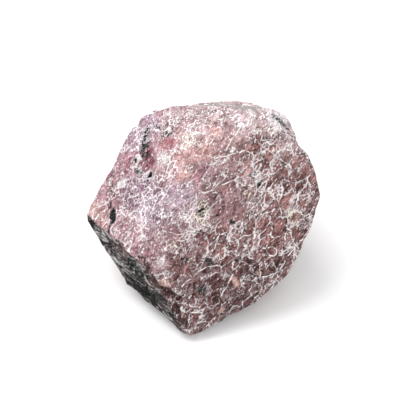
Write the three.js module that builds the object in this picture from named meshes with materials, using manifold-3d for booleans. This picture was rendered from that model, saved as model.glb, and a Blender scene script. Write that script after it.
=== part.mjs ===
// A rough ruby (corundum) crystal, opaque and about 52 mm wide, lying on a flat foot. One solid.
//
// The crystal is worked out around its centre. Every face is a plane, given by the compass direction and
// the tilt of its outward normal and by its distance from that centre. The body is the space inside all
// of the planes, with worn edges and with the lumps and hollows of a natural surface. The mica-coated
// wall, a broken ledge and the foot are then cut from the body, so that their edges stay sharp.
//
// Millimetres and degrees. +Z is up, the broad basal face looks to -Y, and azimuth turns from -Y to +X.

import * as THREE from 'three';
import { ImprovedNoise } from 'three/addons/math/ImprovedNoise.js';
import { mergeVertices } from 'three/addons/utils/BufferGeometryUtils.js';
import Module from 'manifold-3d';

const CENTRE_HEIGHT = 17;    // crystal centre above the foot
const MESH_DETAIL = 18;      // cuts along each edge of the icosahedron that carries the surface
const WORN = 14;             // sharpness of the edges between the upper faces, which are worn
const CRISP = 50;            // sharpness of all other edges
const HALF_ROW = 0.45;       // half the height of a mesh triangle, as a share of its edge
const OFF_LATTICE = 0.5;     // ImprovedNoise is zero at whole numbers, so a flat slice of it is taken here

const UPPER_FACES = [
  { name: 'basal face', azimuth: 6, tilt: 50, distance: 10.3 },
  { name: 'left bevel', azimuth: -34, tilt: 48, distance: 12.7 },
  { name: 'top', azimuth: 3, tilt: 11, distance: 17.3 },
  { name: 'lower right rim', azimuth: 22, tilt: 67, distance: 17.0 },
  { name: 'right shoulder', azimuth: 45, tilt: 56, distance: 21.1 },
];

const OUTER_FACES = [
  { name: 'upper right corner', azimuth: 99, tilt: 44, distance: 25.3 },
  { name: 'back slope', azimuth: 178, tilt: 26, distance: 22.5 },
  { name: 'upper left back', azimuth: -167, tilt: 57, distance: 21.4 },
  { name: 'upper right back', azimuth: 157, tilt: 57, distance: 23.6 },
  { name: 'left back', azimuth: -129, tilt: 86, distance: 19.6 },
  { name: 'left back shoulder', azimuth: -148, tilt: 77, distance: 19.2 },
  { name: 'right back', azimuth: 119, tilt: 90, distance: 20.7 },
  { name: 'right', azimuth: 83, tilt: 102, distance: 24.0 },
  { name: 'right front', azimuth: 78, tilt: 107, distance: 22.9 },
  { name: 'under right front', azimuth: 50, tilt: 123, distance: 24.3 },
  { name: 'under front right', azimuth: 38, tilt: 132, distance: 25.0 },
  { name: 'under nose', azimuth: -5, tilt: 141, distance: 30.1 },
  { name: 'under wall front', azimuth: -33, tilt: 137, distance: 28.9 },
  { name: 'under wall', azimuth: -49, tilt: 139, distance: 25.3 },
  { name: 'under left', azimuth: -86, tilt: 129, distance: 23.8 },
  { name: 'back', azimuth: 178, tilt: 88, distance: 19.0 },
  { name: 'under back', azimuth: 172, tilt: 122, distance: 20.5 },
  { name: 'under right', azimuth: 104, tilt: 128, distance: 20.8 },
  { name: 'under left back', azimuth: -132, tilt: 126, distance: 19.9 },
];

// Lumps rise from the surface and hollows fall below it, where a ray in that direction leaves the body.
const LUMPS_AND_HOLLOWS = [
  { name: 'corner notch', azimuth: 104, tilt: 56, radius: 2.0, rise: -1.2 },
  { name: 'corner knob', azimuth: 110, tilt: 50, radius: 1.8, rise: 0.35 },
  { name: 'red hollow', azimuth: -97, tilt: 46, radius: 2.4, rise: -0.8 },
  { name: 'small red hollow', azimuth: -106, tilt: 28, radius: 1.8, rise: -0.5 },
  { name: 'upper crest', azimuth: -137, tilt: 25, radius: 3.0, rise: 0.3 },
  { name: 'middle crest', azimuth: -90, tilt: 17, radius: 2.6, rise: 0.4 },
  { name: 'lower crest', azimuth: -82, tilt: 37, radius: 2.6, rise: 0.4 },
  { name: 'crest foot', azimuth: -60, tilt: 55, radius: 3.0, rise: 0.35 },
  { name: 'middle pit', azimuth: -8, tilt: 51, radius: 1.5, rise: -0.6 },
  { name: 'mica pocket', azimuth: -75, tilt: 87, radius: 1.8, rise: -0.4 },
  { name: 'dimple', azimuth: 29, tilt: 55, radius: 3.0, rise: -0.45 },
  { name: 'front rim scallop', azimuth: 11, tilt: 120, radius: 1.6, rise: -0.6 },
  { name: 'right rim scallop', azimuth: 22, tilt: 119, radius: 1.6, rise: -0.5 },
  { name: 'back scoop', azimuth: 168, tilt: 72, radius: 6.5, rise: -1.6 },
  { name: 'back lump', azimuth: -165, tilt: 98, radius: 5.0, rise: 0.9 },
  { name: 'left back chip', azimuth: -122, tilt: 104, radius: 4.0, rise: -1.3 },
  { name: 'right back scoop', azimuth: 122, tilt: 84, radius: 5.5, rise: -1.2 },
  { name: 'right chip', azimuth: 88, tilt: 112, radius: 3.0, rise: -0.9 },
  { name: 'right front chip', azimuth: 55, tilt: 106, radius: 2.2, rise: -0.6 },
  { name: 'left hollow', azimuth: -100, tilt: 67, radius: 2.4, rise: -0.5 },
  { name: 'upper left lump', azimuth: -120, tilt: 45, radius: 2.4, rise: 0.3 },
];

const UNDULATIONS = [
  { size: 9, height: 0.35 },
  { size: 4, height: 0.15 },
];

// Corundum parts along the basal plane, so the side faces fall away in terraces that follow it.
const TERRACE = { spacing: 4.5, depth: 0.7, fall: 0.35, fadeIn: 0.05, wander: 9 };

// The wall is a prism face with a skin of mica, which has come away in thin ledges along its grain.
const WALL = { azimuth: -43, tilt: 83, distance: 20.9 };
const GRAIN_DIP = 20;
const LEDGE = { spacing: 2.3, depth: 0.5, fall: 0.15, wanderAlong: 7, wanderAcross: 3 };
const RECESS = { along: -3, up: -8, halfLength: 7, halfHeight: 2.5, depth: 0.5 };

// Slots where the crystal has broken back in steps, just inside the edge above the wall.
const SLOT_DIP = 36;
const SLOTS = [
  { azimuth: -25, tilt: 107, halfLength: 2.0, halfHeight: 0.45, depth: 0.9 },
  { azimuth: -19, tilt: 110, halfLength: 1.5, halfHeight: 0.45, depth: 0.9 },
];

// The blocks that are cut away: below the foot, and outside the wall, where the block's inner side is a
// fine mesh that takes the shape of the ledges.
const FOOT_BLOCK_SIDE = 80;
const WALL_BLOCK = { length: 48, height: 34, thickness: 14, up: -8, columns: 24, rows: 44 };
const SLOT_DETAIL = 3;

const noise = new ImprovedNoise();

function direction(azimuth, tilt) {
  const turn = THREE.MathUtils.degToRad(azimuth);
  const lean = THREE.MathUtils.degToRad(tilt);
  return new THREE.Vector3(Math.sin(turn) * Math.sin(lean), -Math.cos(turn) * Math.sin(lean), Math.cos(lean));
}

function withNormals(faces) {
  return faces.map((face) => ({ ...face, normal: direction(face.azimuth, face.tilt) }));
}

const upperFaces = withNormals(UPPER_FACES);
const outerFaces = withNormals(OUTER_FACES);
const allFaces = [...upperFaces, ...outerFaces];
// A ray from the centre meets a plane at the range 1 / closeness. The plane with the greatest closeness
// is met first, and a power sum in place of the plain maximum rounds the edges.
function closeness(ray, face) {
  return Math.max(0, ray.dot(face.normal) / face.distance);
}

function roundedMaximum(values, sharpness) {
  const sum = values.reduce((total, value) => total + value ** sharpness, 0);
  return sum ** (1 / sharpness);
}

function faceRange(ray) {
  const upper = roundedMaximum(upperFaces.map((face) => closeness(ray, face)), WORN);
  const outer = outerFaces.map((face) => closeness(ray, face));
  return 1 / roundedMaximum([upper, ...outer], CRISP);
}

function placeOnFaces({ azimuth, tilt }) {
  const ray = direction(azimuth, tilt);
  return ray.multiplyScalar(faceRange(ray));
}

const features = LUMPS_AND_HOLLOWS.map((feature) => ({ ...feature, centre: placeOnFaces(feature) }));

// A mesh point nearer to a crisp edge than half a row of the mesh moves onto it, so that the edge runs
// along the mesh.
function snapToEdge(ray, reach) {
  const ranked = [...allFaces].sort((a, b) => closeness(ray, b) - closeness(ray, a));
  const [first, second] = ranked;
  if (upperFaces.includes(first) && upperFaces.includes(second)) return;
  const across = first.normal.clone().divideScalar(first.distance);
  across.addScaledVector(second.normal, -1 / second.distance).normalize();
  const offset = ray.dot(across);
  if (Math.abs(offset) < reach) ray.addScaledVector(across, -offset).normalize();
}

// A ledge's profile from 0 to 1, which repeats with every whole step: a long rise, then a short fall.
function ledgeProfile(steps, fall) {
  const place = steps - Math.floor(steps);
  return Math.min(place / (1 - fall), (1 - place) / fall);
}

function terraceFall(point, ray) {
  const upper = Math.max(...upperFaces.map((face) => closeness(ray, face)));
  const outer = Math.max(...outerFaces.map((face) => closeness(ray, face)));
  const share = THREE.MathUtils.smoothstep((outer - upper) / upper, 0, TERRACE.fadeIn);
  const { wander: size } = TERRACE;
  const wander = noise.noise(point.x / size, point.y / size, point.z / size + OFF_LATTICE);
  const steps = point.dot(upperFaces[0].normal) / TERRACE.spacing + wander;
  return share * TERRACE.depth * ledgeProfile(steps, TERRACE.fall);
}

function undulation(point) {
  let rise = 0;
  for (const wave of UNDULATIONS) {
    rise += wave.height * noise.noise(point.x / wave.size, point.y / wave.size, point.z / wave.size);
  }
  return rise;
}

function featureRise(point) {
  let rise = 0;
  for (const feature of features) {
    const distance = point.distanceTo(feature.centre) / feature.radius;
    rise += feature.rise * Math.exp(-distance * distance);
  }
  return rise;
}

function bare(geometry) {
  geometry.deleteAttribute('normal');
  geometry.deleteAttribute('uv');
  return mergeVertices(geometry);
}

// The mean length of the mesh edges that meet at each point.
function localSteps(geometry) {
  const { position } = geometry.attributes;
  const index = geometry.index.array;
  const lengths = new Float64Array(position.count);
  const counts = new Float64Array(position.count);
  const start = new THREE.Vector3();
  const end = new THREE.Vector3();
  for (let corner = 0; corner < index.length; corner++) {
    const from = index[corner];
    const to = index[corner % 3 === 2 ? corner - 2 : corner + 1];
    start.fromBufferAttribute(position, from);
    end.fromBufferAttribute(position, to);
    lengths[from] += start.distanceTo(end);
    counts[from] += 1;
  }
  return lengths.map((length, i) => length / counts[i]);
}

function bodyGeometry() {
  const geometry = bare(new THREE.IcosahedronGeometry(1, MESH_DETAIL));
  const steps = localSteps(geometry);
  const position = geometry.attributes.position;
  const ray = new THREE.Vector3();
  const point = new THREE.Vector3();
  for (let i = 0; i < position.count; i++) {
    ray.fromBufferAttribute(position, i).normalize();
    snapToEdge(ray, HALF_ROW * steps[i]);
    point.copy(ray).multiplyScalar(faceRange(ray));
    point.addScaledVector(ray, undulation(point) + featureRise(point) - terraceFall(point, ray));
    position.setXYZ(i, point.x, point.y, point.z);
  }
  return geometry;
}

const wasm = await Module();
wasm.setup();

function toSolid(geometry) {
  const vertProperties = Float32Array.from(geometry.attributes.position.array);
  const triVerts = Uint32Array.from(geometry.index.array);
  return new wasm.Manifold(new wasm.Mesh({ numProp: 3, vertProperties, triVerts }));
}

function toGeometry(solid) {
  const mesh = solid.getMesh();
  const geometry = new THREE.BufferGeometry();
  geometry.setAttribute('position', new THREE.BufferAttribute(Float32Array.from(mesh.vertProperties), 3));
  geometry.setIndex(new THREE.BufferAttribute(Uint32Array.from(mesh.triVerts), 1));
  geometry.computeVertexNormals();
  return geometry;
}

function footBlock() {
  const block = new THREE.BoxGeometry(FOOT_BLOCK_SIDE, FOOT_BLOCK_SIDE, FOOT_BLOCK_SIDE);
  block.translate(0, 0, -CENTRE_HEIGHT - FOOT_BLOCK_SIDE / 2);
  return toSolid(bare(block));
}

// How far the wall's skin lies below its plane, at a place along and up the wall.
function wallDepth(along, up) {
  const dip = THREE.MathUtils.degToRad(GRAIN_DIP);
  const acrossGrain = up * Math.cos(dip) + along * Math.sin(dip);
  const wander = noise.noise(along / LEDGE.wanderAlong, acrossGrain / LEDGE.wanderAcross, OFF_LATTICE);
  const ledge = LEDGE.depth * ledgeProfile(acrossGrain / LEDGE.spacing + wander, LEDGE.fall);
  const recessAlong = (along - RECESS.along) / RECESS.halfLength;
  const recessUp = (up - RECESS.up) / RECESS.halfHeight;
  return ledge + RECESS.depth * Math.exp(-(recessAlong ** 2) - recessUp ** 2);
}

// Turns a shape's local x, y and z into horizontal, up and outward on a face.
function faceBasis(outward) {
  const along = new THREE.Vector3(0, 0, 1).cross(outward).normalize();
  const up = outward.clone().cross(along);
  return new THREE.Matrix4().makeBasis(along, up, outward);
}

function slotTool(slot) {
  const tool = new THREE.IcosahedronGeometry(1, SLOT_DETAIL);
  tool.scale(slot.halfLength, slot.halfHeight, slot.depth);
  tool.rotateZ(-THREE.MathUtils.degToRad(SLOT_DIP));
  tool.applyMatrix4(faceBasis(upperFaces[0].normal));
  const place = placeOnFaces(slot);
  tool.translate(place.x, place.y, place.z);
  return toSolid(bare(tool));
}

function wallBlock() {
  const { length, height, thickness, up, columns, rows } = WALL_BLOCK;
  const block = new THREE.BoxGeometry(length, height, thickness, columns, rows, 1);
  block.translate(0, up, thickness / 2);
  const position = block.attributes.position;
  for (let i = 0; i < position.count; i++) {
    if (position.getZ(i) > thickness / 2) continue;
    position.setZ(i, -wallDepth(position.getX(i), position.getY(i)));
  }
  block.translate(0, 0, WALL.distance);
  block.applyMatrix4(faceBasis(direction(WALL.azimuth, WALL.tilt)));
  return toSolid(bare(block));
}

let solid = toSolid(bodyGeometry()).subtract(footBlock()).subtract(wallBlock());
for (const slot of SLOTS) solid = solid.subtract(slotTool(slot));
const geometry = toGeometry(solid);
geometry.computeBoundingBox();
const box = geometry.boundingBox;
geometry.translate(-(box.min.x + box.max.x) / 2, -(box.min.y + box.max.y) / 2, -box.min.z);

const crystal = new THREE.Mesh(
  geometry,
  new THREE.MeshStandardMaterial({ color: 0x96706f, roughness: 0.8, metalness: 0 }),
);
crystal.name = 'ruby_crystal';

const group = new THREE.Group();
group.add(crystal);

export default group;
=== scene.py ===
"""The looks of a rough ruby crystal: its surface relief, its material, the floor, the light and the view.

Lengths inside the painting and relief code are millimetres in the frame of the CAD model, and Blender's
objects are in metres.
"""

import math

import bmesh
import bpy
import numpy as np
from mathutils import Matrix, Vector
from mathutils.bvhtree import BVHTree


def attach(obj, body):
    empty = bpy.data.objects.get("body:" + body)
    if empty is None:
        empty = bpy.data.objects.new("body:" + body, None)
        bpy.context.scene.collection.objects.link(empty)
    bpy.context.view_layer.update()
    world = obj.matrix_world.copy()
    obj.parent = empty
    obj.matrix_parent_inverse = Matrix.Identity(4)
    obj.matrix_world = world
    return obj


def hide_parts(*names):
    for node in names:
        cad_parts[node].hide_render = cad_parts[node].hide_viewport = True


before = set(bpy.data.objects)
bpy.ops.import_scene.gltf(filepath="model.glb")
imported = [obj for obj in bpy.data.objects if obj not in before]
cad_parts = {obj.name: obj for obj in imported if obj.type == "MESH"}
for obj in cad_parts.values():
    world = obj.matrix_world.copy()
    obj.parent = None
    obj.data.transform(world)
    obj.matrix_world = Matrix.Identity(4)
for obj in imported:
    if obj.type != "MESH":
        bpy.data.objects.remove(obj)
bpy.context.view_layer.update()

MM = 0.001
NODE = "ruby_crystal"


def direction(azimuth, tilt):
    """A unit vector from its azimuth, which turns from -Y to +X, and its tilt from +Z, in degrees."""
    turn = math.radians(azimuth)
    lean = math.radians(tilt)
    return Vector((math.sin(turn) * math.sin(lean), -math.cos(turn) * math.sin(lean), math.cos(lean)))


# The view: the eye looks down at the crystal's front from this far away.
VIEW_CENTRE = Vector((0.4, -1.7, 17.0))     # the point that the places on the front are measured from
VIEW_ELEVATION = math.radians(50)
VIEW_DISTANCE = 257.9
VIEW_SHIFT = (0.9, 2.2)                     # how far right and up the camera stands beside the view's line
LENS = 100
SENSOR = 36
CLIP_START = 0.01                           # metres

VIEW_RIGHT = Vector((1, 0, 0))
VIEW_UP = Vector((0, math.sin(VIEW_ELEVATION), math.cos(VIEW_ELEVATION)))
VIEW_BACK = Vector((0, -math.cos(VIEW_ELEVATION), math.sin(VIEW_ELEVATION)))
EYE = VIEW_CENTRE + VIEW_DISTANCE * VIEW_BACK

# The CAD model's faces that the paint follows: azimuth, tilt and distance from the crystal's centre. The
# first upper face is the basal one, and the stone parts in layers along it.
CRYSTAL_CENTRE = Vector((1.4, 3.3, 17.0))
WALL = (-43, 83, 20.9)
UPPER_FACES = [(6, 50, 10.3), (-34, 48, 12.7), (3, 11, 17.3), (22, 67, 17.0), (45, 56, 21.1)]
BASAL_NORMAL = direction(*UPPER_FACES[0][:2])
WALL_GRAIN = Vector((0, 0, 1)).cross(direction(*WALL[:2])).normalized()
GRAIN = (0.57 * VIEW_RIGHT + 0.82 * VIEW_UP).normalized()     # the way the pale flakes run

# A place is on the wall if it lies less deep below the wall's plane than below the upper faces. One that
# faces the wall's way more than most counts as less deep, and one that faces away counts as deeper.
WALL_FACING = 0.88                          # the cosine of the angle that counts for nothing
WALL_FACING_WEIGHT = 4                      # millimetres of depth for each 1 of cosine
WALL_EDGE = (-0.25, 0.25)                   # differences of depth between which the wall begins
WALL_DEPTHS = (3.0, 1.5)                    # depths below the wall's plane between which it begins, too
SIDE_DEPTHS = (2.5, 5.0)                    # depths below the upper faces between which a side begins

# The veins are drawn in flat coordinates: one set for the front, one round the sides and one for the back.
# Each gives way to the next between two values of how far the surface faces the eye, from 1 to -1.
CHARTS = ("front chart", "side chart", "back chart")
FRONT_ENDS = (0.08, 0.26)
BACK_STARTS = (-0.7, -0.55)
SIDE_RADIUS = 21.0                          # of the cylinder that the sides are unrolled from
CHART_GRAIN = (0.57, 0.82, 0.0)             # the same as GRAIN, in flat coordinates
WALL_CHART_GRAIN = (0.66, -0.75, 0.0)       # the way the wall's ledges run there
NEAR_ZERO = 0.001                           # stands in for 0 in widths and in what lengths are divided by

# The fine surface.
MERGE_DISTANCE = 1e-6                       # metres
SHARP_EDGE = math.radians(38)               # edges of the CAD solid that bend more than this stay sharp
SMOOTHING_LEVELS = 2
VOXEL = 0.30                                # the even mesh's spacing
FOOT_FLATNESS = 0.15                        # what lies lower than this becomes part of the flat foot
FOOT_FADE = (0.1, 1.2)                      # heights between which the relief grows to its full


# ---- Node trees -------------------------------------------------------------------------------------

# The Mix node's sockets for colours. They go by number, as its sockets for numbers have the same names.
MIX_FACTOR = 0
MIX_COLOURS = (6, 7)
MIX_RESULT = 2


class Field:
    """A number or a vector in a node tree. Arithmetic on it adds nodes to the tree."""

    def __init__(self, tree, socket):
        self.tree = tree
        self.socket = socket

    def __add__(self, other):
        return self.tree.math("ADD", self, other)

    def __sub__(self, other):
        return self.tree.math("SUBTRACT", self, other)

    def __rsub__(self, other):
        return self.tree.math("SUBTRACT", other, self)

    def __mul__(self, other):
        return self.tree.math("MULTIPLY", self, other)

    __radd__ = __add__
    __rmul__ = __mul__


class Tree:
    """Adds nodes to a shader's or a modifier's node tree."""

    def __init__(self, node_tree):
        self.nodes = node_tree.nodes
        self.links = node_tree.links

    def node(self, kind, inputs=(), output=0, **settings):
        """A new node's output, or None if the output asked for is None."""
        made = self.nodes.new(kind)
        for name, value in settings.items():
            setattr(made, name, value)
        for key, value in dict(inputs).items():
            if isinstance(value, Field):
                self.links.new(value.socket, made.inputs[key])
            else:
                made.inputs[key].default_value = value
        return None if output is None else Field(self, made.outputs[output])

    def math(self, operation, a, b=0.0):
        return self.node("ShaderNodeMath", {0: a, 1: b}, operation=operation)

    def vector_math(self, operation, a, b):
        output = "Value" if operation == "DOT_PRODUCT" else "Vector"
        key = "Scale" if operation == "SCALE" else 1
        return self.node("ShaderNodeVectorMath", {0: a, key: b}, output, operation=operation)

    def smooth(self, value, low, high, start=0.0, end=1.0):
        """start where value is at low, end where it is at high, and a smooth step between them."""
        inputs = {"Value": value, "From Min": low, "From Max": high, "To Min": start, "To Max": end}
        return self.node("ShaderNodeMapRange", inputs, interpolation_type="SMOOTHSTEP")

    def noise(self, place, size, detail=2.0, roughness=0.5, output="Fac"):
        inputs = {"Vector": place, "Scale": 1 / size, "Detail": detail, "Roughness": roughness}
        return self.node("ShaderNodeTexNoise", inputs, output)

    def bent(self, place, size, reach):
        """place, moved by up to about reach by a noise of that size."""
        colour = self.noise(place, size, output="Color")
        centred = self.vector_math("SUBTRACT", colour, (0.5, 0.5, 0.5))
        return self.vector_math("ADD", place, self.vector_math("SCALE", centred, 2 * reach))

    def stretched(self, place, along, share):
        """place for a pattern that runs along a direction: distances along it count for this share."""
        length = self.vector_math("DOT_PRODUCT", place, tuple(along))
        return self.vector_math("ADD", place, self.vector_math("SCALE", tuple(along), (share - 1) * length))

    def largest(self, first, *others):
        for other in others:
            first = self.math("MAXIMUM", first, other)
        return first

    def smallest(self, first, second):
        return self.math("MINIMUM", first, second)

    def part(self, vector, index):
        """One of a vector's or a colour's three numbers."""
        return self.vector_math("DOT_PRODUCT", vector, tuple(float(i == index) for i in range(3)))

    def ridge(self, value, width):
        """1 where the value is 0.5, falling to 0 at that width on either side."""
        return self.smooth(self.math("ABSOLUTE", value - 0.5), 0.0, width, 1, 0)

    def voronoi(self, chart, size, feature, output):
        inputs = {"Vector": chart, "Scale": 1 / size}
        return self.node("ShaderNodeTexVoronoi", inputs, output, voronoi_dimensions="2D", feature=feature)

    def cell_edge(self, chart, size):
        """The distance to the nearest edge between cells of that size."""
        return size * self.voronoi(chart, size, "DISTANCE_TO_EDGE", "Distance")

    def cell_value(self, chart, size):
        """A random number from 0 to 1 for each of the cells that cell_edge gives the edges of."""
        return self.part(self.voronoi(chart, size, "F1", "Color"), 0)

    def dots(self, chart, spacing, density):
        """1 in small round dots, 0 around them. The density is the share of the cells that have one."""
        distance = self.voronoi(chart, spacing, "F1", "Distance")
        chosen = self.smooth(self.cell_value(chart, spacing) - density, -0.02, 0.02, 1, 0)
        return chosen * self.smooth(distance, 0.3, 0.4, 1, 0)

    def blend(self, share, first, second):
        """The number first where the share is 0, and second where it is 1."""
        return first * (1 - share) + second * share

    def mix(self, share, first, second):
        """The colour first where the share is 0, and second where it is 1."""
        inputs = {MIX_FACTOR: share}
        for key, colour in zip(MIX_COLOURS, (first, second)):
            inputs[key] = colour if isinstance(colour, Field) else (*colour, 1)
        return self.node("ShaderNodeMix", inputs, MIX_RESULT, data_type="RGBA")


# ---- The shape ---------------------------------------------------------------------------------------


def new_object(name, mesh):
    made = bpy.data.objects.new(name, mesh)
    bpy.context.scene.collection.objects.link(made)
    return made


def apply_modifiers(thing):
    """Gives the object a new mesh with its modifiers applied. Its old mesh and its modifiers go."""
    graph = bpy.context.evaluated_depsgraph_get()
    mesh = bpy.data.meshes.new_from_object(thing.evaluated_get(graph))
    mesh.name = thing.name
    old = thing.data
    thing.modifiers.clear()
    thing.data = mesh
    bpy.data.meshes.remove(old)


def crystal_copy():
    """The CAD solid as one joined mesh whose sharp edges are creased."""
    mesh = bpy.data.meshes.new("crystal")
    work = bmesh.new()
    work.from_mesh(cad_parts[NODE].data)
    bmesh.ops.remove_doubles(work, verts=work.verts, dist=MERGE_DISTANCE)
    crease = work.edges.layers.float.new("crease_edge")
    for edge in work.edges:
        if edge.calc_face_angle(0) > SHARP_EDGE:
            edge[crease] = 1
    work.to_mesh(mesh)
    work.free()
    return new_object("crystal", mesh)


def refine(crystal):
    """Rounds the CAD solid's facets away and gives it an even, fine mesh with a flat foot."""
    subdivision = crystal.modifiers.new("round", "SUBSURF")
    subdivision.levels = SMOOTHING_LEVELS
    remesh = crystal.modifiers.new("even", "REMESH")
    remesh.mode = "VOXEL"
    remesh.voxel_size = VOXEL * MM
    apply_modifiers(crystal)
    places = positions(crystal.data)
    places[places[:, 2] < FOOT_FLATNESS, 2] = 0
    set_positions(crystal.data, places)
    crystal.data.shade_smooth()


def positions(mesh):
    """The vertices' places, in millimetres."""
    flat = np.empty(len(mesh.vertices) * 3)
    mesh.vertices.foreach_get("co", flat)
    return flat.reshape(-1, 3) / MM


def normals(mesh):
    flat = np.empty(len(mesh.vertices) * 3)
    mesh.vertices.foreach_get("normal", flat)
    return flat.reshape(-1, 3)


def set_positions(mesh, places):
    mesh.vertices.foreach_set("co", (places * MM).ravel())
    mesh.update()


# ---- Where things lie on the surface -----------------------------------------------------------------


class Surface:
    """The undisplaced crystal, with its vertices' places and a way to find places on it."""

    def __init__(self, thing):
        mesh = thing.data
        self.places = positions(mesh)
        self.normals = normals(mesh)
        corners = [tuple(polygon.vertices) for polygon in mesh.polygons]
        self.tree = BVHTree.FromPolygons([Vector(place) for place in self.places], corners)

    def on_front(self, across, up):
        """Where the eye sees the surface, that far right of and above the middle of the view."""
        target = VIEW_CENTRE + across * VIEW_RIGHT + up * VIEW_UP
        return self.hit(EYE, (target - EYE).normalized())

    def on_side(self, azimuth, tilt):
        """Where a ray from the crystal's centre leaves the surface."""
        return self.hit(CRYSTAL_CENTRE, direction(azimuth, tilt))

    def hit(self, start, along):
        """The first place on the ray that is on the surface, or None."""
        place, *_ = self.tree.ray_cast(start, along)
        return None if place is None else np.array(place)

    def distance_to(self, centre):
        return np.linalg.norm(self.places - centre, axis=1)

    def distance_to_line(self, points):
        """The distance to a line through these points on the surface."""
        nearest = np.full(len(self.places), np.inf)
        for start, end in zip(points, points[1:]):
            along = end - start
            share = np.clip((self.places - start) @ along / (along @ along), 0, 1)
            offset = self.places - start - share[:, None] * along
            nearest = np.minimum(nearest, np.linalg.norm(offset, axis=1))
        return nearest

    def depth_below(self, azimuth, tilt, distance):
        """How far each vertex lies below one of the crystal's faces."""
        return distance - (self.places - np.array(CRYSTAL_CENTRE)) @ np.array(direction(azimuth, tilt))

    def depth_below_upper_faces(self):
        return np.min([self.depth_below(*face) for face in UPPER_FACES], axis=0)


# Long veins: how far away they are measured, the length of their straight pieces, and how far each piece's
# ends wander.
LINE_REACH = 3.0
LINE_STEP = 0.9
LINE_WANDER = 0.22
SEED = 4

# Every vertex takes most from the patches nearest to it. The power is how fast a patch's weight falls with
# the distance from it, counted in its radii, and the softness keeps its middle from drowning the others.
PATCH_POWER = 4
PATCH_SOFTNESS = 0.05

# A lump or hollow fades out at this many times its size, and is full from this share of the way inside.
BUMP_REACH = 1.3
BUMP_FULL = 0.8

# Colours of the clean stone between its veins, from 0 to 255 as the screen shows them.
STONE = {
    "brown": (146, 97, 92),
    "dull brown": (132, 91, 92),
    "dark brown": (84, 48, 45),
    "deep brown": (116, 73, 70),
    "mauve": (154, 113, 120),
    "lavender": (152, 114, 136),
    "lilac": (190, 163, 182),
    "salmon": (230, 182, 178),
    "rose": (182, 138, 147),
    "pink": (194, 130, 142),
    "wine": (133, 65, 82),
    "pale pink": (206, 181, 182),
    "pale grey": (206, 197, 202),
    "grey green": (160, 152, 148),
}

# Patches of stone seen from the front: place, radius, colour, share of pale flakes, strength of veins. Their
# colours run from pale on the top faces to dark brown low on the front. That is partly the stone's own
# colours and partly painted light and shade, for light that falls from above.
FRONT_PATCHES = [
    # Pale on the top faces: partly the stone's own colour, partly painted light.
    ("top", (8.0, 21.9), 4.0, "pale pink", 0.65, 0.2),
    ("top rim", (2.0, 24.6), 2.5, "pale grey", 0.75, 0.1),
    ("right of the top rim", (9.5, 24.2), 2.5, "pale grey", 0.75, 0.1),
    ("below the corner", (13.5, 19.5), 2.0, "pale pink", 0.6, 0.6),
    ("top left", (-3.1, 23.0), 3.5, "pale pink", 0.75, 0.2),
    ("far top left", (-9.0, 23.2), 2.5, "rose", 0.65, 0.2),
    ("right corner", (16.1, 22.0), 3.0, "pale grey", 0.65, 0.3),
    ("crest", (-4.2, 12.9), 3.5, "salmon", 0.6, 0.2),
    ("pink slope", (0.5, 16.0), 2.5, "salmon", 0.5, 0.3),
    ("upper slope", (2.5, 19.6), 1.8, "salmon", 0.3, 0.2),
    ("top of the crest", (-3.1, 17.2), 2.0, "pale pink", 0.9, 0.2),
    ("pocket", (-7.6, 16.7), 1.8, "pink", 0.25, 0.2),
    ("beside the pocket", (-9.0, 13.0), 2.0, "pale pink", 0.75, 0.2),
    ("red hollow", (-12.4, 13.4), 2.4, "wine", 0.25, 0.2),
    ("left slope", (-14.3, 6.2), 3.0, "lavender", 0.6, 0.3),
    ("upper left notch", (-17.5, 12.0), 2.0, "rose", 0.5, 0.2),
    ("middle slope", (-12.1, 1.8), 3.0, "lilac", 0.9, 0.3),
    ("left edge", (-22.0, 5.0), 2.5, "rose", 0.5, 0.2),
    ("left tip", (-24.0, 0.7), 2.0, "salmon", 0.55, 0.2),
    ("low slope", (-16.5, -2.7), 3.0, "rose", 0.7, 0.3),
    ("upper left slope", (-15.4, 18.5), 3.0, "lilac", 0.65, 0.3),
    ("upper left edge", (-12.1, 21.9), 2.5, "lilac", 0.7, 0.3),
    ("middle", (-0.9, 10.7), 2.5, "rose", 0.4, 0.4),
    ("middle left", (-5.5, 5.5), 2.5, "lilac", 0.6, 0.4),
    ("big cell", (4.0, 7.4), 2.5, "dull brown", 0.3, 0.6),
    ("dimple", (5.8, 1.8), 2.5, "dull brown", 0.2, 0.2),
    ("centre", (-2.0, 1.0), 2.5, "rose", 1.0, 1.0),
    ("right top", (12.5, 14.8), 3.5, "brown", 0.45, 1.0),
    ("right", (16.0, 8.5), 4.0, "brown", 0.62, 1.0),
    ("far right", (20.5, 4.0), 3.0, "brown", 0.4, 1.0),
    ("right low", (17.5, -3.0), 3.5, "brown", 0.3, 0.9),
    ("front", (5.8, -6.0), 4.0, "brown", 0.45, 1.0),
    ("low left", (-7.5, -4.0), 2.5, "mauve", 0.45, 0.5),
    ("beside the ridge", (-10.8, -8.1), 3.0, "mauve", 0.5, 0.4),
    ("low middle", (-4.1, -10.4), 3.0, "deep brown", 0.38, 0.6),
    # Dark low on the front: partly the stone's own colour, partly painted shade.
    ("low front", (1.5, -15.0), 4.5, "dark brown", 0.05, 0.5),
    ("nose", (-3.0, -21.0), 3.0, "deep brown", 0.32, 0.8),
    ("lower right", (13.0, -14.0), 4.0, "dark brown", 0.1, 0.8),
]

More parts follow.
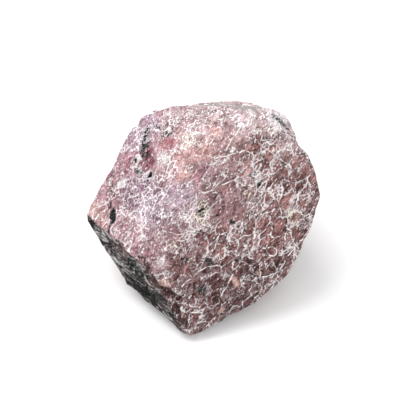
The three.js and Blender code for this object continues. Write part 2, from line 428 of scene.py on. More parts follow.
# Patches of stone on the sides that the front hides: azimuth and tilt, and then as above.
SIDE_PATCHES = [
    ("back slope", (178, 30), 8.0, "pale pink", 0.5, 0.4),
    ("upper left back", (-160, 55), 5.0, "rose", 0.55, 0.4),
    ("back", (178, 90), 8.0, "mauve", 0.4, 0.6),
    ("back middle", (160, 75), 4.0, "rose", 0.35, 0.6),
    ("left back", (-130, 85), 7.0, "rose", 0.4, 0.4),
    ("left back foot", (-120, 115), 6.0, "mauve", 0.3, 0.6),
    ("right back", (120, 85), 7.0, "brown", 0.25, 0.8),
    ("right", (88, 95), 6.0, "deep brown", 0.25, 0.8),
    ("right foot", (90, 120), 6.0, "grey green", 0.3, 0.5),
    ("under the nose", (5, 130), 5.0, "dark brown", 0.4, 0.8),
    ("under right front", (45, 125), 5.0, "brown", 0.4, 0.7),
]

# Marks on the front: kind, place, half length, half width, slope in degrees, and strength. The kinds are:
# mica: black with grey strands, over everything else
# speckle: the same, under the flakes and veins
# cream and white: the flakes are wider there, and in cream or over whiter stone
# chalk: dull white, over the flakes
# pink: pink grains that stand out a little
# orange: the stone's hue is shifted that way
# strip: grey streaks
# clear: smooth stone, with fewer flakes, veins and fibres
# umber: dark brown, over everything but the mica; over the bite below the ridge it is partly painted shade
FRONT_MARKS = [
    ("mica", (-12.1, 9.6), 0.75, 0.45, 65, 1.0),
    ("mica", (-12.6, 8.3), 0.35, 0.22, 0, 1.0),
    ("mica", (-20.4, 0.3), 1.9, 0.75, 80, 1.0),
    ("mica", (-20.9, 3.0), 1.3, 0.22, 75, 0.9),
    ("mica", (-21.2, -2.4), 1.6, 0.25, 80, 0.9),
    ("mica", (-20.6, 6.7), 0.9, 0.16, 80, 0.9),
    ("mica", (-15.3, 12.7), 0.5, 0.22, 80, 1.0),
    ("mica", (-13.0, 16.3), 0.6, 0.25, 60, 0.8),
    ("mica", (12.5, 7.6), 0.7, 0.35, 60, 0.8),
    ("mica", (3.1, 0.6), 0.35, 0.25, 40, 1.0),
    ("mica", (-0.7, 1.7), 0.9, 0.25, 30, 0.9),
    ("mica", (-5.4, -17.9), 0.6, 0.35, -20, 1.0),
    ("speckle", (-14.6, 10.4), 1.3, 0.7, -20, 0.9),
    ("speckle", (-13.2, 16.0), 2.6, 0.9, 80, 0.9),
    ("speckle", (-12.9, 18.9), 1.6, 0.8, 70, 0.8),
    ("speckle", (-8.2, 18.9), 1.9, 0.8, 35, 0.9),
    ("speckle", (-10.6, 20.6), 2.0, 0.5, -20, 0.8),
    ("speckle", (-16.5, 7.9), 0.8, 0.3, 80, 0.9),
    ("speckle", (-10.3, 4.6), 1.6, 0.3, 75, 0.6),
    ("speckle", (10.9, 9.7), 1.0, 0.4, 30, 0.9),
    ("speckle", (12.5, 7.6), 1.2, 0.7, 60, 0.8),
    ("speckle", (-0.3, 1.3), 1.8, 0.7, 20, 0.9),
    ("speckle", (6.2, -0.9), 0.8, 0.6, 0, 0.9),
    ("speckle", (-4.5, -9.5), 1.4, 0.6, 0, 0.7),
    ("speckle", (1.5, -9.8), 1.2, 0.6, -20, 0.9),
    ("speckle", (7.6, -9.4), 0.8, 0.4, 20, 0.9),
    ("speckle", (-0.7, -16.1), 0.8, 0.8, 0, 0.9),
    ("speckle", (3.0, -17.5), 1.0, 0.5, 60, 0.7),
    ("speckle", (16.4, 22.2), 3.2, 0.6, -42, 1.0),
    ("speckle", (18.0, 20.6), 1.4, 0.6, -50, 0.8),
    ("cream", (-0.3, 2.7), 2.2, 1.2, -60, 0.8),
    ("cream", (-0.9, 0.0), 1.8, 1.2, -40, 0.8),
    ("cream", (-3.1, 17.4), 1.8, 1.3, 80, 0.6),
    ("cream", (-6.5, -5.4), 2.0, 1.2, 40, 0.7),
    ("cream", (19.5, 0.5), 2.2, 1.2, -60, 0.7),
    ("cream", (13.5, 20.5), 3.5, 1.5, -30, 0.3),
    ("cream", (9.5, 5.5), 1.0, 0.7, 0, 0.7),
    ("cream", (-3.0, -9.0), 1.0, 0.8, 0, 0.6),
    ("cream", (-9.7, -4.0), 0.9, 0.6, 0, 0.7),
    ("white", (-12.2, 9.4), 1.5, 0.9, 65, 0.9),
    ("chalk", (-18.3, 7.6), 1.3, 0.9, 30, 1.0),
    ("chalk", (-14.4, 13.3), 0.6, 0.5, 60, 0.9),
    ("chalk", (-8.8, 13.0), 1.0, 0.5, -60, 0.7),
    ("white", (-15.0, 13.0), 1.2, 0.7, 70, 0.8),
    ("white", (-8.5, 13.3), 2.0, 0.9, -60, 0.7),
    ("white", (-13.8, -4.5), 1.8, 0.7, -10, 0.7),
    ("white", (-9.6, -9.8), 1.6, 0.6, 60, 0.7),
    ("white", (19.2, 1.6), 1.5, 1.0, 60, 0.6),
    ("pink", (7.1, -14.3), 1.3, 0.7, -65, 1.0),
    ("pink", (-8.6, -14.4), 1.3, 0.8, -20, 0.9),
    ("pink", (4.0, -20.5), 0.9, 0.5, 40, 0.8),
    ("pink", (12.2, -12.6), 0.8, 0.4, -60, 0.8),
    ("orange", (-3.6, 15.2), 2.2, 1.5, 40, 0.8),
    ("orange", (-6.5, 8.5), 2.5, 1.8, 20, 0.7),
    ("orange", (-3.5, 9.5), 2.5, 1.6, 0, 0.4),
    ("strip", (-3.0, 24.6), 4.0, 1.2, 5, 0.6),
    ("strip", (3.5, 25.2), 5.0, 1.3, 0, 0.9),
    ("strip", (9.5, 24.7), 4.5, 1.2, -5, 0.9),
    ("clear", (2.9, -14.2), 1.8, 1.4, 75, 1.0),
    ("clear", (8.8, -11.3), 1.7, 1.2, 70, 1.0),
    ("clear", (15.2, -7.6), 1.2, 1.1, 0, 1.0),
    ("clear", (5.8, 1.8), 3.2, 2.4, 0, 0.6),
    ("clear", (5.3, 7.0), 2.0, 1.5, 40, 0.5),
    ("clear", (14.0, 13.0), 1.6, 1.0, 60, 0.8),
    ("clear", (11.5, 15.6), 1.3, 1.0, -40, 0.8),
    ("clear", (17.0, 9.5), 1.6, 0.9, -70, 0.8),
    ("clear", (-4.0, -9.8), 2.6, 1.4, 60, 0.4),
    ("clear", (-2.3, -14.2), 1.8, 0.8, 60, 0.8),
    ("clear", (-4.7, -12.0), 1.8, 1.2, 60, 0.5),
    ("clear", (13.2, -1.2), 1.6, 1.0, 60, 0.7),
    ("clear", (5.0, 17.5), 2.5, 1.5, 50, 0.6),
    ("umber", (-18.5, -6.7), 3.2, 1.2, -48, 0.7),
    ("umber", (-13.2, -10.4), 3.0, 1.0, -50, 0.5),
    ("umber", (-11.5, -13.8), 2.5, 1.5, -55, 0.7),
    # Over the bite below the ridge and its two recesses, this dark brown is partly painted shade.
    ("umber", (-8.0, -16.8), 2.8, 0.7, -15, 1.0),
    ("umber", (-6.2, -20.4), 2.5, 0.9, -50, 0.7),
    ("umber", (-4.6, -23.2), 1.6, 0.8, -50, 0.8),
    ("mica", (-15.3, -10.9), 2.8, 2.0, -50, 0.5),
    ("mica", (-11.6, -16.6), 2.0, 1.2, -50, 0.45),
    ("white", (-23.2, -3.4), 2.6, 1.5, -50, 1.0),
    ("white", (-19.6, -10.0), 3.0, 1.2, -50, 0.7),
]

# How wide the soft edges of each kind are, in millimetres.
MARK_EDGES = {
    "mica": 0.15,
    "clear": 0.5,
    "umber": 0.6,
    "speckle": 0.4,
    "cream": 0.5,
    "white": 0.4,
    "chalk": 0.5,
    "pink": 0.2,
    "orange": 1.2,
    "strip": 1.0,
}

# Lumps and hollows on the front: place, half length, half width, slope, and rise in millimetres.
FRONT_BUMPS = [
    ((-8.6, -14.4), 1.6, 1.0, -20, 0.4),
    ((-8.2, -16.1), 1.7, 0.6, -25, -0.8),
    ((-7.5, -17.0), 1.4, 0.4, -25, 0.4),
    ((-6.4, -17.9), 1.4, 0.5, -25, -0.8),
    ((-12.1, 9.6), 0.9, 0.6, 65, -0.6),
    ((-12.7, 13.6), 1.5, 0.9, 60, -0.5),
    ((-7.5, 16.2), 1.0, 0.7, 60, -0.5),
    ((7.1, -14.3), 1.3, 0.8, -65, 0.3),
    ((5.3, 1.6), 3.0, 2.4, 0, -0.4),
    ((-5.4, -17.9), 0.9, 0.6, -20, -0.4),
    ((15.0, -7.6), 1.2, 1.0, 0, -0.5),
    ((3.1, -13.8), 1.8, 1.2, 60, -0.4),
    ((-4.2, -10.5), 1.8, 1.4, 60, -0.3),
    ((8.5, -11.6), 1.5, 1.0, 60, -0.3),
]

# Long pale veins on the front, as points that they run through.
FRONT_VEINS = [
    [(-4.5, 7.8), (-2.2, 7.0), (0.0, 5.4), (1.3, 6.0), (3.3, 7.6), (4.7, 9.0), (5.5, 10.5)],
    [(0.8, 14.1), (2.2, 13.2), (3.6, 13.5), (5.8, 14.1), (7.5, 14.6), (9.2, 15.0), (10.8, 14.6)],
    [(3.8, 7.4), (6.9, 8.7), (10.3, 9.9)],
    [(8.3, 20.5), (6.7, 18.0), (5.5, 16.1), (4.9, 14.6)],
    [(11.1, 18.2), (12.7, 16.6), (14.2, 15.2), (15.8, 14.1), (17.5, 12.9), (19.2, 11.6)],
    [(14.5, 21.0), (16.4, 19.6), (18.1, 18.8), (19.8, 17.7), (21.0, 16.4)],
    [(15.8, 14.1), (14.7, 12.1), (14.5, 9.6), (14.7, 7.9)],
    [(19.2, 11.6), (18.6, 8.6), (20.2, 5.6), (19.2, 2.8)],
    [(15.6, 2.9), (14.5, -1.2), (12.9, -3.5), (11.5, -5.0)],
    [(20.0, -4.4), (18.4, -6.9), (17.1, -8.6)],
    [(21.6, -4.7), (20.3, -6.7), (18.7, -8.5)],
    [(18.2, -9.4), (16.8, -11.8), (15.2, -13.4)],
    [(14.1, -7.6), (14.6, -6.6), (15.6, -6.4), (16.3, -7.3), (15.9, -8.5), (14.6, -8.7), (14.1, -7.6)],
    [(1.2, -13.2), (2.3, -12.1), (4.0, -12.4), (4.6, -14.0)],
    [(7.6, -10.6), (8.6, -9.4), (9.9, -10.1), (10.3, -11.8)],
    [(6.6, -12.7), (5.0, -15.3), (3.7, -17.8)],
    [(12.0, -16.2), (10.0, -17.8), (8.5, -19.1)],
    [(-9.0, -3.0), (-5.5, -3.6), (-3.0, -3.0), (-0.6, -3.4)],
    [(-6.0, -5.1), (-2.9, -4.7), (-2.6, -6.2)],
    [(-5.0, -15.4), (-2.0, -12.6), (1.0, -10.8), (3.6, -10.6)],
    [(-25.0, 1.6), (-21.0, 4.0), (-18.0, 5.6)],
]


def linear(colour):
    """A colour of 0 to 255 as the screen shows it (sRGB), in the numbers that shaders use."""
    share = np.array(colour) / 255
    return np.where(share <= 0.04045, share / 12.92, ((share + 0.055) / 1.055) ** 2.4)


def all_patches(surface):
    """Each patch's place on the surface, radius, colour, share of flakes and strength of veins."""
    for _, place, *rest in FRONT_PATCHES:
        yield surface.on_front(*place), *rest
    for _, place, *rest in SIDE_PATCHES:
        yield surface.on_side(*place), *rest


def paint_patches(surface):
    """Blends the patches' colours, shares of flakes and strengths of veins."""
    total = np.zeros(len(surface.places))
    tint = np.zeros((len(surface.places), 3))
    flakes = np.zeros(len(surface.places))
    veins = np.zeros(len(surface.places))
    for place, radius, colour, flake_share, vein_share in all_patches(surface):
        distance = surface.distance_to(place) / radius
        weight = 1 / (PATCH_SOFTNESS + distance ** PATCH_POWER)
        total += weight
        tint += weight[:, None] * linear(STONE[colour])
        flakes += weight * flake_share
        veins += weight * vein_share
    return tint / total[:, None], flakes / total, veins / total


def step(values, low, high):
    """0 up to low, 1 from high, and a smooth step between them. Low may be the larger one."""
    share = np.clip((values - low) / (high - low), 0, 1)
    return share * share * (3 - 2 * share)


def oval(surface, place, length, width, slope):
    """How far inside an oval on the front each vertex lies: 1 at its centre, and 0 on its edge."""
    centre = surface.on_front(*place)
    along = math.cos(math.radians(slope)) * VIEW_RIGHT + math.sin(math.radians(slope)) * VIEW_UP
    offset = surface.places - centre
    run = offset @ np.array(along)
    rest = np.sqrt(np.maximum((offset ** 2).sum(axis=1) - run ** 2, 0))
    return 1 - np.hypot(run / length, rest / width)


def paint_marks(surface, kind):
    """How strong the marks of a kind are, from 0 to 1."""
    strength = np.zeros(len(surface.places))
    edge = MARK_EDGES[kind]
    for mark_kind, place, length, width, slope, share in FRONT_MARKS:
        if mark_kind == kind:
            inside = oval(surface, place, length, width, slope) * width
            strength = np.maximum(strength, share * step(inside, -edge / 2, edge / 2))
    return strength


def paint_bumps(surface):
    """The rise of the lumps and hollows."""
    rise = np.zeros(len(surface.places))
    for place, length, width, slope, height in FRONT_BUMPS:
        inside = oval(surface, place, BUMP_REACH * length, BUMP_REACH * width, slope)
        rise += height * step(inside, 0, BUMP_FULL)
    return rise


def crooked(line, random):
    """The line with more points, each moved a little, so that it wanders as a natural vein does."""
    line = np.array(line)
    lengths = np.concatenate([[0], np.cumsum(np.linalg.norm(np.diff(line, axis=0), axis=1))])
    steps = np.linspace(0, lengths[-1], max(2, round(lengths[-1] / LINE_STEP)))
    smooth = np.stack([np.interp(steps, lengths, line[:, axis]) for axis in (0, 1)], axis=1)
    return (smooth + random.uniform(-LINE_WANDER, LINE_WANDER, smooth.shape)).tolist()


def paint_lines(surface):
    """The distance to the nearest long vein."""
    random = np.random.default_rng(SEED)
    nearest = np.full(len(surface.places), LINE_REACH)
    for line in FRONT_VEINS:
        places = [surface.on_front(*spot) for spot in crooked(line, random)]
        points = [place for place in places if place is not None]
        nearest = np.minimum(nearest, surface.distance_to_line(points))
    return nearest


def paint_wall(surface):
    """1 on the wall, 0 elsewhere."""
    facing = surface.normals @ np.array(direction(*WALL[:2]))
    depth = surface.depth_below(*WALL)
    score = surface.depth_below_upper_faces() - depth + WALL_FACING_WEIGHT * (facing - WALL_FACING)
    return step(score, *WALL_EDGE) * step(depth, *WALL_DEPTHS)


def paint_sides(surface):
    """1 on the broken faces around and under the crystal, 0 on the upper faces."""
    return step(surface.depth_below_upper_faces(), *SIDE_DEPTHS)


def chart_round(surface, apex, right):
    """Flat coordinates for each vertex: where it lies round an apex, at its true distance from it."""
    offset = surface.places - apex
    across = offset @ np.array(right)
    up = offset @ np.array(VIEW_UP)
    stretch = np.linalg.norm(offset, axis=1) / np.maximum(np.hypot(across, up), NEAR_ZERO)
    return np.stack([across * stretch, up * stretch, np.zeros(len(across))], axis=1)


def chart_of_sides(surface):
    """Flat coordinates for each vertex: the way round a cylinder along the view, and the way along it."""
    offset = surface.places - np.array(CRYSTAL_CENTRE)
    turn = np.arctan2(offset @ np.array(VIEW_RIGHT), offset @ np.array(VIEW_UP))
    return np.stack([SIDE_RADIUS * turn, offset @ np.array(VIEW_BACK), np.zeros(len(turn))], axis=1)


def store(mesh, name, kind, values):
    """Adds an attribute to the mesh, with these values for its vertices."""
    key = {"FLOAT": "value", "FLOAT_VECTOR": "vector", "FLOAT_COLOR": "color"}[kind]
    mesh.attributes.new(name, kind, "POINT").data.foreach_set(key, np.ravel(values))


def paint(crystal):
    """Stores all that the pattern needs to know about each vertex."""
    surface = Surface(crystal)
    mesh = crystal.data
    tint, flakes, veins = paint_patches(surface)
    opaque = np.ones((len(tint), 1))
    store(mesh, "rest", "FLOAT_VECTOR", surface.places)
    front = surface.on_front(0, 0)
    store(mesh, "front chart", "FLOAT_VECTOR", chart_round(surface, front, VIEW_RIGHT))
    store(mesh, "side chart", "FLOAT_VECTOR", chart_of_sides(surface))
    back = surface.hit(CRYSTAL_CENTRE, -VIEW_BACK)
    store(mesh, "back chart", "FLOAT_VECTOR", chart_round(surface, back, -VIEW_RIGHT))
    facing = surface.normals @ np.array(VIEW_BACK)
    store(mesh, "front", "FLOAT", step(facing, *FRONT_ENDS))
    store(mesh, "back", "FLOAT", 1 - step(facing, *BACK_STARTS))
    store(mesh, "tint", "FLOAT_COLOR", np.hstack([tint, opaque]))
    store(mesh, "flakes", "FLOAT", flakes)
    store(mesh, "veins", "FLOAT", veins)
    store(mesh, "wall", "FLOAT", paint_wall(surface))
    store(mesh, "sides", "FLOAT", paint_sides(surface))
    store(mesh, "line", "FLOAT", paint_lines(surface))
    store(mesh, "bump", "FLOAT", paint_bumps(surface))
    for kind in MARK_EDGES:
        store(mesh, kind, "FLOAT", paint_marks(surface, kind))


# ---- The pattern that the relief and the material share ----------------------------------------------

# Patterns along the stone's grain count distances along it for this share.
GRAIN_SHARE = 0.55

# Sizes in millimetres of the strands that make up the pale filigree, and the share of each. A strand runs
# where a noise is near 0.5, and it ends where the noise is this far from that.
STRANDS = [(2.6, 0.24), (1.4, 0.28), (0.8, 0.28), (0.45, 0.2)]
STRAND_WIDTH = 0.1

# Sizes of the cells whose edges become veins (big and small) and flakes (curl and fine), and the size and
# the reach of the noises that bend them.
BIG_CELL = 2.0
SMALL_CELL = 0.95
CURL_CELL = 1.1
FINE_CELL = 0.5
VEIN_BENDS = [(2.4, 0.8), (0.6, 0.3), (0.25, 0.1)]
CURL_BEND = (0.9, 0.55)
FINE_BEND = (0.5, 0.25)

# Half widths in millimetres. A vein swells and a flake spreads with a noise: its low and high ends, and the
# half widths there. What is below 0 leaves nothing to see.
BIG_VEIN = (0.38, 0.62, 0.03, 0.15)
SMALL_VEIN = (0.42, 0.62, -0.05, 0.11)
LONG_VEIN = (0.38, 0.62, 0.11, 0.21)
FLAKE = (0.36, 0.64, -0.08, 0.11)
SPLINTER = (0.45, 0.65, -0.06, 0.07)
WIDEST_CURL = 0.15
WIDEST_GRIT = 0.1

DOT_SPACING = 0.4

# The torn marks grow from nothing to their full strength between these values of the paint and the noise
# that tears it, added together.
TORN = {
    "mica": (0.95, 1.05),
    "speckle": (0.85, 1.25),
    "pink": (0.8, 1.0),
    "chalk": (0.8, 1.2),
    "umber": (0.7, 1.2),
}

# How far each mark stands out, in millimetres. For a noise, it is the rise over its whole range.
RISE = {
    "network": 0.1,
    "cell": 0.1,
    "broad": 0.6,
    "grain": 0.15,
    "layers": 0.2,
    "streaks": 0.3,
    "pink": 0.1,
    "mica": -0.25,
}


def strands(tree, place):
    """0 to 1, and highest along curling strands of several sizes that cluster together."""
    total = 0
    for size, share in STRANDS:
        total += share * tree.ridge(tree.noise(place, size, 1.0), STRAND_WIDTH)
    return total


def vein(tree, distance, half_width):
    """1 on a vein, 0 beside it and wherever the half width is not above 0."""
    half_width = tree.largest(half_width, NEAR_ZERO)
    return tree.smooth(distance, 0.5 * half_width, 0.95 * half_width, 1, 0)


def vein_network(tree, get, swell, clean, big_edge, small_edge):
    """The pale veins between the big cells, and the thinner ones between the small cells."""
    thin = 1 - get("veins")
    big_width = tree.smooth(tree.part(swell, 0), *BIG_VEIN) - 0.16 * thin - 0.2 * get("clear")
    small_width = tree.smooth(tree.part(swell, 1), *SMALL_VEIN) - 0.1 * thin - 0.1 * clean
    return tree.largest(vein(tree, big_edge, big_width), 0.9 * vein(tree, small_edge, small_width))


def flake_half_width(tree, get, cluster, clean, big_edge):
    """Half the width of the pale flakes. It is below 0 where there are none."""
    width = tree.smooth(cluster, *FLAKE) + 0.16 * (get("flakes") - 0.4)
    width += 0.06 * get("veins") * tree.smooth(big_edge, 0.1, 0.5, 1, 0)
    return width + 0.08 * get("white") + 0.08 * get("cream") - 0.05 * get("pink") - 0.12 * clean


def cells(tree, get, chart, swell, cluster):
    """The veins and flakes, drawn in one set of flat coordinates."""
    grained = tree.stretched(chart, CHART_GRAIN, GRAIN_SHARE)
    bent = grained
    for size, reach in VEIN_BENDS:
        bent = tree.bent(bent, size, reach)
    big_edge = tree.cell_edge(bent, BIG_CELL)
    small_edge = tree.cell_edge(bent, SMALL_CELL)
    curl_edge = tree.cell_edge(tree.bent(grained, *CURL_BEND), CURL_CELL)
    fine_edge = tree.cell_edge(tree.bent(grained, *FINE_BEND), FINE_CELL)
    cell = tree.cell_value(bent, BIG_CELL)
    clean = get("clear") + 0.8 * get("veins") * tree.smooth(cell, 0.45, 0.2)
    width = flake_half_width(tree, get, cluster, clean, big_edge)
    curls = vein(tree, curl_edge, tree.smallest(width, WIDEST_CURL))
    grit = vein(tree, fine_edge, tree.smallest(width, WIDEST_GRIT) - 0.03)
    dots = tree.dots(grained, DOT_SPACING, (0.04 + 0.25 * get("flakes")) * (1 - 0.6 * get("veins")))
    beside_flakes = tree.smooth(tree.smallest(fine_edge, curl_edge), 0.05, 0.16, 1, 0)
    beside_flakes *= tree.smooth(width, -0.03, 0.05)
    beside_veins = tree.smooth(big_edge, 0.15, 0.4, 1, 0) * get("veins")
    return {
        "network": vein_network(tree, get, swell, clean, big_edge, small_edge),
        "flakes": tree.largest(curls, 0.8 * grit, 0.8 * dots),
        "shade": tree.largest(beside_flakes, beside_veins),
        "cell": cell,
        "small cell": tree.cell_value(bent, SMALL_CELL),
    }


def cells_all_round(tree, get, swell, cluster):
    """The veins and flakes of the front, the sides and the back, blended into each other."""
    front, side, back = (cells(tree, get, get(name, "vector"), swell, cluster) for name in CHARTS)
    marks = {}
    for name in front:
        behind = tree.blend(get("back"), side[name], back[name])
        marks[name] = tree.blend(get("front"), behind, front[name])
    return marks


def grain_marks(tree, place, grained):
    """Noises of several sizes. Most of them run along the stone's grain."""
    return {
        "filigree": strands(tree, grained),
        "grain": tree.noise(grained, 3.2, 5, 0.78),
        "mottle": tree.noise(grained, 1.1, 3, 0.7),
        "grit": tree.noise(grained, 0.3, 2, 0.7),
        "hue": tree.noise(grained, 1.8, 3, 0.65, "Color"),
        "broad": tree.noise(place, 4.0, 2, 0.6),
        "layers": tree.noise(tree.stretched(place, BASAL_NORMAL, 4), 3.0, 3, 0.6),
        "strip": tree.noise(tree.stretched(place, VIEW_RIGHT, 0.2), 0.55, 3, 0.7),
        "fibres": tree.noise(tree.stretched(place, GRAIN, 0.25), 0.28, 2, 0.7),
    }


def wall_marks(tree, get, place):
    """The streaks and the flakes of the mica on the wall, which run along its ledges."""
    along = tree.stretched(tree.bent(place, 2.0, 0.3), WALL_GRAIN, 0.2)
    chart = tree.stretched(tree.bent(get("front chart", "vector"), 3.0, 0.3), WALL_CHART_GRAIN, 0.13)
    flakes = tree.noise(along, 0.28, 3, 0.75) + 0.5 * (tree.noise(along, 2.2, 2) - 0.5)
    return {
        "streaks": tree.noise(along, 1.8, 4, 0.7),
        "wall flakes": flakes + 0.05 * get("white"),
        "wall edge": tree.cell_edge(chart, 0.5),
        "wall cluster": tree.noise(along, 1.1, 4, 0.75),
    }


def torn_marks(tree, get, place):
    """The painted marks that have ragged edges."""
    spread = tree.smooth(tree.noise(tree.stretched(place, GRAIN, 0.7), 0.9, 3, 0.6), 0.3, 0.7)
    marks = {}
    for name, ends in TORN.items():
        marks[name] = tree.smooth(get(name) + spread * tree.smooth(get(name), 0.0, 0.1), *ends)
    return marks


def pattern(tree, get):
    """The stone's marks as fields. get(name) gives a painted attribute."""
    place = get("rest", "vector")
    grained = tree.stretched(place, GRAIN, GRAIN_SHARE)
    swell = tree.noise(place, 1.3, 3, 0.6, "Color")
    cluster = 0.8 * tree.noise(grained, 1.4, 4, 0.8) + 0.4 * tree.noise(place, 3.0, 2) - 0.1
    marks = cells_all_round(tree, get, swell, cluster)
    line = vein(tree, get("line"), tree.smooth(tree.part(swell, 1), *LONG_VEIN))
    marks["network"] = tree.largest(marks["network"], line) * (1 - get("wall"))
    marks["place"] = place
    marks.update(grain_marks(tree, place, grained))
    marks.update(wall_marks(tree, get, place))
    marks.update(torn_marks(tree, get, place))
    return marks


def relief(tree, get):
    """How far the surface stands out, in millimetres."""
    marks = pattern(tree, get)
    wall = get("wall")

    def swing(name):
        """A noise's rise above and fall below the middle of its range."""
        return RISE[name] * (marks[name] - 0.5)

    height = RISE["network"] * marks["network"] + swing("cell") * get("veins")
    height += swing("broad") + swing("grain")
    height += swing("layers") * get("sides") * (1 - wall)
    height += swing("streaks") * wall
    height += RISE["pink"] * marks["pink"] + RISE["mica"] * marks["mica"]
    height += get("bump")
    return height * tree.smooth(tree.part(marks["place"], 2), *FOOT_FADE)


def displace(crystal):
    """Moves the surface out by the relief, and keeps the foot flat."""
    group = bpy.data.node_groups.new("relief", "GeometryNodeTree")
    group.interface.new_socket("Geometry", in_out="INPUT", socket_type="NodeSocketGeometry")
    group.interface.new_socket("Geometry", in_out="OUTPUT", socket_type="NodeSocketGeometry")
    tree = Tree(group)
    kinds = {"value": "FLOAT", "vector": "FLOAT_VECTOR"}

    def get(name, kind="value"):
        """A painted attribute."""
        return tree.node("GeometryNodeInputNamedAttribute", {"Name": name}, 0, data_type=kinds[kind])

    normal = tree.node("GeometryNodeInputNormal")
    offset = tree.vector_math("SCALE", normal, relief(tree, get) * MM)
    before = tree.node("NodeGroupInput")
    moved = tree.node("GeometryNodeSetPosition", {"Geometry": before, "Offset": offset})
    tree.node("NodeGroupOutput", {"Geometry": moved}, None)
    crystal.modifiers.new("relief", "NODES").node_group = group
    apply_modifiers(crystal)
    places = positions(crystal.data)
    places[:, 2] = np.maximum(places[:, 2], 0)
    set_positions(crystal.data, places)


# ---- The material ------------------------------------------------------------------------------------

# The stone's brightness follows these noises: each one's low and high ends, and its factors there.
TONES = {
    "grain": (0.32, 0.68, 0.45, 1.65),
    "grit": (0.34, 0.66, 0.5, 1.5),
    "mottle": (0.34, 0.66, 0.65, 1.35),
    "broad": (0.38, 0.62, 0.85, 1.15),
}
MIDDLE_TONE = 0.68

# Factors that shift the stone's hue.
SAME_HUE = (1.0, 1.0, 1.0)
DARK_HUE = (1.17, 0.92, 0.93)
GREENISH = (0.94, 1.02, 1.02)
ROSY = (1.07, 0.97, 0.97)
YELLOWISH = (1.0, 1.01, 0.95)
VIOLET = (1.0, 0.98, 1.06)
ORANGE = (1.14, 1.08, 0.98)
HUE_ENDS = (0.36, 0.64)                     # of the noise that the hue follows

# Colours that lie on the clean stone, in the numbers that shaders use.
BRIGHT_STONE = (0.62, 0.53, 0.56)
FILIGREE = (0.62, 0.46, 0.47)
WHITE_STONE = (0.75, 0.74, 0.74)
PINK_GRAIN = (0.56, 0.34, 0.3)
FLAKE_WHITE = (1.0, 0.955, 0.97)
VEIN_WHITE = (1.0, 0.93, 0.94)
CREAM = (0.96, 0.87, 0.74)
CHALK = (0.88, 0.89, 0.88)
STRIP_GREY = (0.26, 0.26, 0.24)
UMBER = (0.1, 0.053, 0.047)
UMBER_FLAKE = (0.5, 0.4, 0.38)
MICA = (0.014, 0.016, 0.015)
MICA_STRAND = (0.16, 0.19, 0.17)
# Near-black for the wall: the mica's own colour, made darker still as painted shade.
WALL_BLACK = (0.005, 0.005, 0.006)
WALL_BROWN = (0.06, 0.045, 0.042)
WALL_FLAKE = (0.45, 0.42, 0.42)
WALL_SPLINTER = (0.6, 0.57, 0.57)

# The surface.
SPECULAR_LEVEL = 0.12
MICA_ROUGHNESS = 0.4
FINE_BUMP = 0.3                             # millimetres that the finest marks stand out


def stone_tone(tree, get, marks):
    """The stone's brightness as a factor. It is low beside veins and flakes, and steps from cell to cell."""
    veins = get("veins")
    tone = 1
    for name, ends in TONES.items():
        tone = tone * tree.smooth(marks[name], *ends)
    cell_tone = 1 + 0.8 * (marks["cell"] - 0.5) * veins + 0.6 * (marks["small cell"] - 0.5) * veins
    return MIDDLE_TONE * tone * cell_tone * (1 - (0.45 + 0.25 * veins) * marks["shade"])


def clean_stone(tree, get, marks, tone):
    """The stone between its veins and flakes: redder where it is dark, and paler where it is bright."""
    veins = get("veins")
    stone = tree.vector_math("SCALE", get("tint", "colour"), tone)
    depth = tree.mix(tree.smooth(tone, 0.3, 0.75), DARK_HUE, SAME_HUE)
    stone = tree.vector_math("MULTIPLY", stone, depth)
    rosy = tree.mix(tree.smooth(tree.part(marks["hue"], 0), *HUE_ENDS), GREENISH, ROSY)
    violet = tree.mix(tree.smooth(tree.part(marks["hue"], 1), *HUE_ENDS), YELLOWISH, VIOLET)
    hued = tree.vector_math("MULTIPLY", tree.vector_math("MULTIPLY", stone, rosy), violet)
    stone = tree.mix(0.7 * veins, hued, stone)
    stone = tree.mix(get("orange"), stone, tree.vector_math("MULTIPLY", stone, ORANGE))
    stone = tree.mix((0.5 - 0.4 * veins) * tree.smooth(tone, 0.8, 1.8), stone, BRIGHT_STONE)
    stone = tree.mix(0.3 * tree.smooth(marks["filigree"], 0.25, 0.8), stone, FILIGREE)
    return tree.mix(0.5 * get("white"), stone, WHITE_STONE)


def flake_colour(tree, get):
    """The pale flakes and veins: white with a share of the stone's own colour, and cream in places."""
    veins = get("veins")
    own = tree.vector_math("SCALE", get("tint", "colour"), 1.9)
    white = tree.mix(veins, FLAKE_WHITE, VEIN_WHITE)
    colour = tree.mix(0.24 - 0.14 * veins, white, own)
    return tree.mix(get("cream"), colour, CREAM)


def pale_share(tree, get, marks):
    """How much of the stone the flakes, veins and fibres cover. Specks of mica show through them."""
    pale = tree.largest(marks["flakes"], marks["network"]) * tree.smooth(marks["grit"], 0.32, 0.48, 0.8, 1)
    fibres = (0.15 + 0.35 * get("flakes")) * tree.smooth(marks["fibres"], 0.56, 0.68)
    fibres = fibres * (1 - 0.7 * get("clear"))
    return tree.largest(pale, fibres) * (1 - 0.3 * marks["speckle"])


def wall_colour(tree, marks):
    """Dark mica in layers, with broken pale flakes along them. Its near-black is partly the mica's own
    colour and partly painted shade, for an undercut wall that faces away from the light.
    """
    colour = tree.mix(tree.smooth(marks["streaks"], 0.45, 0.65), WALL_BLACK, WALL_BROWN)
    colour = tree.mix(tree.smooth(marks["wall flakes"], 0.56, 0.62), colour, WALL_FLAKE)
    half_width = tree.smooth(marks["wall cluster"], *SPLINTER)
    return tree.mix(vein(tree, marks["wall edge"], half_width), colour, WALL_SPLINTER)


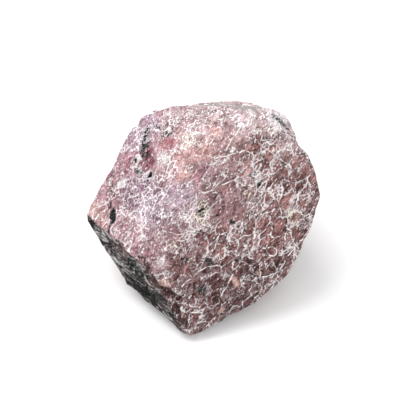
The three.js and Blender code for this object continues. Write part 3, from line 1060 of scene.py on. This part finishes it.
def crystal_colour(tree, get, marks, pale):
    """All the colours, from the clean stone up to the mica that lies over everything else."""
    tone = stone_tone(tree, get, marks)
    mica = tree.mix(tree.smooth(marks["filigree"], 0.5, 0.7), MICA, MICA_STRAND)
    colour = clean_stone(tree, get, marks, tone)
    colour = tree.mix(marks["speckle"], colour, mica)
    pink_grain = tree.vector_math("SCALE", PINK_GRAIN, 0.45 + 0.55 * tone)
    colour = tree.mix(marks["pink"], colour, pink_grain)
    colour = tree.mix(pale, colour, flake_colour(tree, get))
    chalk = marks["chalk"] * tree.smooth(marks["filigree"], 0.2, 0.6, 0.6, 1)
    colour = tree.mix(chalk, colour, CHALK)
    streaks = tree.smooth(marks["strip"] + 0.4 * get("strip"), 0.72, 0.9)
    colour = tree.mix(0.75 * streaks, colour, STRIP_GREY)
    # The wall's dark mica, which is partly painted shade.
    colour = tree.mix(get("wall"), colour, wall_colour(tree, marks))
    umber = tree.mix(0.7 * marks["flakes"], tree.vector_math("SCALE", UMBER, tone), UMBER_FLAKE)
    colour = tree.mix(marks["umber"], colour, umber)
    return tree.mix(marks["mica"], colour, mica)


def crystal_roughness(tree, get, marks, pale):
    stone = tree.smooth(marks["grain"], 0.35, 0.65, 0.7, 0.5) + 0.1 * pale + 0.1 * get("wall")
    return tree.blend(marks["mica"], stone, MICA_ROUGHNESS)


def crystal_bump(tree, marks):
    """The way the surface faces, with its finest marks standing out."""
    height = 0.8 * marks["grain"] + 0.5 * marks["flakes"] + 0.6 * marks["network"]
    return tree.node("ShaderNodeBump", {"Height": height, "Distance": FINE_BUMP * MM, "Strength": 1.0})


def crystal_material():
    material = bpy.data.materials.new("ruby")
    material.use_nodes = True
    tree = Tree(material.node_tree)
    shader = tree.nodes["Principled BSDF"]
    shader.inputs["Specular IOR Level"].default_value = SPECULAR_LEVEL
    outputs = {"value": "Fac", "vector": "Vector", "colour": "Color"}

    def get(name, kind="value"):
        """A painted attribute."""
        return tree.node("ShaderNodeAttribute", (), outputs[kind], attribute_name=name)

    marks = pattern(tree, get)
    pale = pale_share(tree, get, marks)
    fields = {
        "Base Color": crystal_colour(tree, get, marks, pale),
        "Roughness": crystal_roughness(tree, get, marks, pale),
        "Normal": crystal_bump(tree, marks),
    }
    for name, field in fields.items():
        tree.links.new(field.socket, shader.inputs[name])
    return material


crystal = crystal_copy()
refine(crystal)
paint(crystal)
displace(crystal)
crystal.data.materials.append(crystal_material())


# ---- The studio --------------------------------------------------------------------------------------

# Lengths and places here are in metres. The key light's place is counted from the crystal's centre.
FLOOR_SIZE = 3.0
FLOOR_COLOUR = (0.9, 0.9, 0.9, 1)
FLOOR_ROUGHNESS = 0.9
KEY_PLACE = (-0.42, 0.3, 0.85)
KEY_SIZE = 0.7
KEY_WATTS = 6.6
WORLD_COLOUR = (1, 1, 1, 1)
WORLD_STRENGTH = 1.04


def plain_material(name, colour, roughness):
    material = bpy.data.materials.new(name)
    material.use_nodes = True
    shader = material.node_tree.nodes["Principled BSDF"]
    shader.inputs["Base Color"].default_value = colour
    shader.inputs["Roughness"].default_value = roughness
    return material


def add_floor():
    half = FLOOR_SIZE / 2
    mesh = bpy.data.meshes.new("floor")
    corners = [(-half, -half, 0), (half, -half, 0), (half, half, 0), (-half, half, 0)]
    mesh.from_pydata(corners, [], [(0, 1, 2, 3)])
    floor = new_object("floor", mesh)
    floor.data.materials.append(plain_material("floor", FLOOR_COLOUR, FLOOR_ROUGHNESS))


def add_key_light():
    """A square lamp that looks at the crystal."""
    data = bpy.data.lights.new("key", "AREA")
    data.size = KEY_SIZE
    data.energy = KEY_WATTS
    lamp = new_object("key", data)
    lamp.location = CRYSTAL_CENTRE * MM + Vector(KEY_PLACE)
    lamp.rotation_euler = (-Vector(KEY_PLACE)).to_track_quat("-Z", "Y").to_euler()


def add_world():
    world = bpy.data.worlds.new("studio")
    world.use_nodes = True
    background = world.node_tree.nodes["Background"]
    background.inputs["Color"].default_value = WORLD_COLOUR
    background.inputs["Strength"].default_value = WORLD_STRENGTH
    bpy.context.scene.world = world


def add_camera():
    data = bpy.data.cameras.new("camera")
    data.lens = LENS
    data.sensor_width = SENSOR
    data.clip_start = CLIP_START
    camera = new_object("camera", data)
    right, up = VIEW_SHIFT
    camera.location = (EYE + right * VIEW_RIGHT + up * VIEW_UP) * MM
    camera.rotation_euler = (math.pi / 2 - VIEW_ELEVATION, 0, 0)
    bpy.context.scene.camera = camera


add_floor()
add_key_light()
add_world()
add_camera()
bpy.context.scene.view_settings.view_transform = "Standard"

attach(crystal, "root")
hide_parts(NODE)
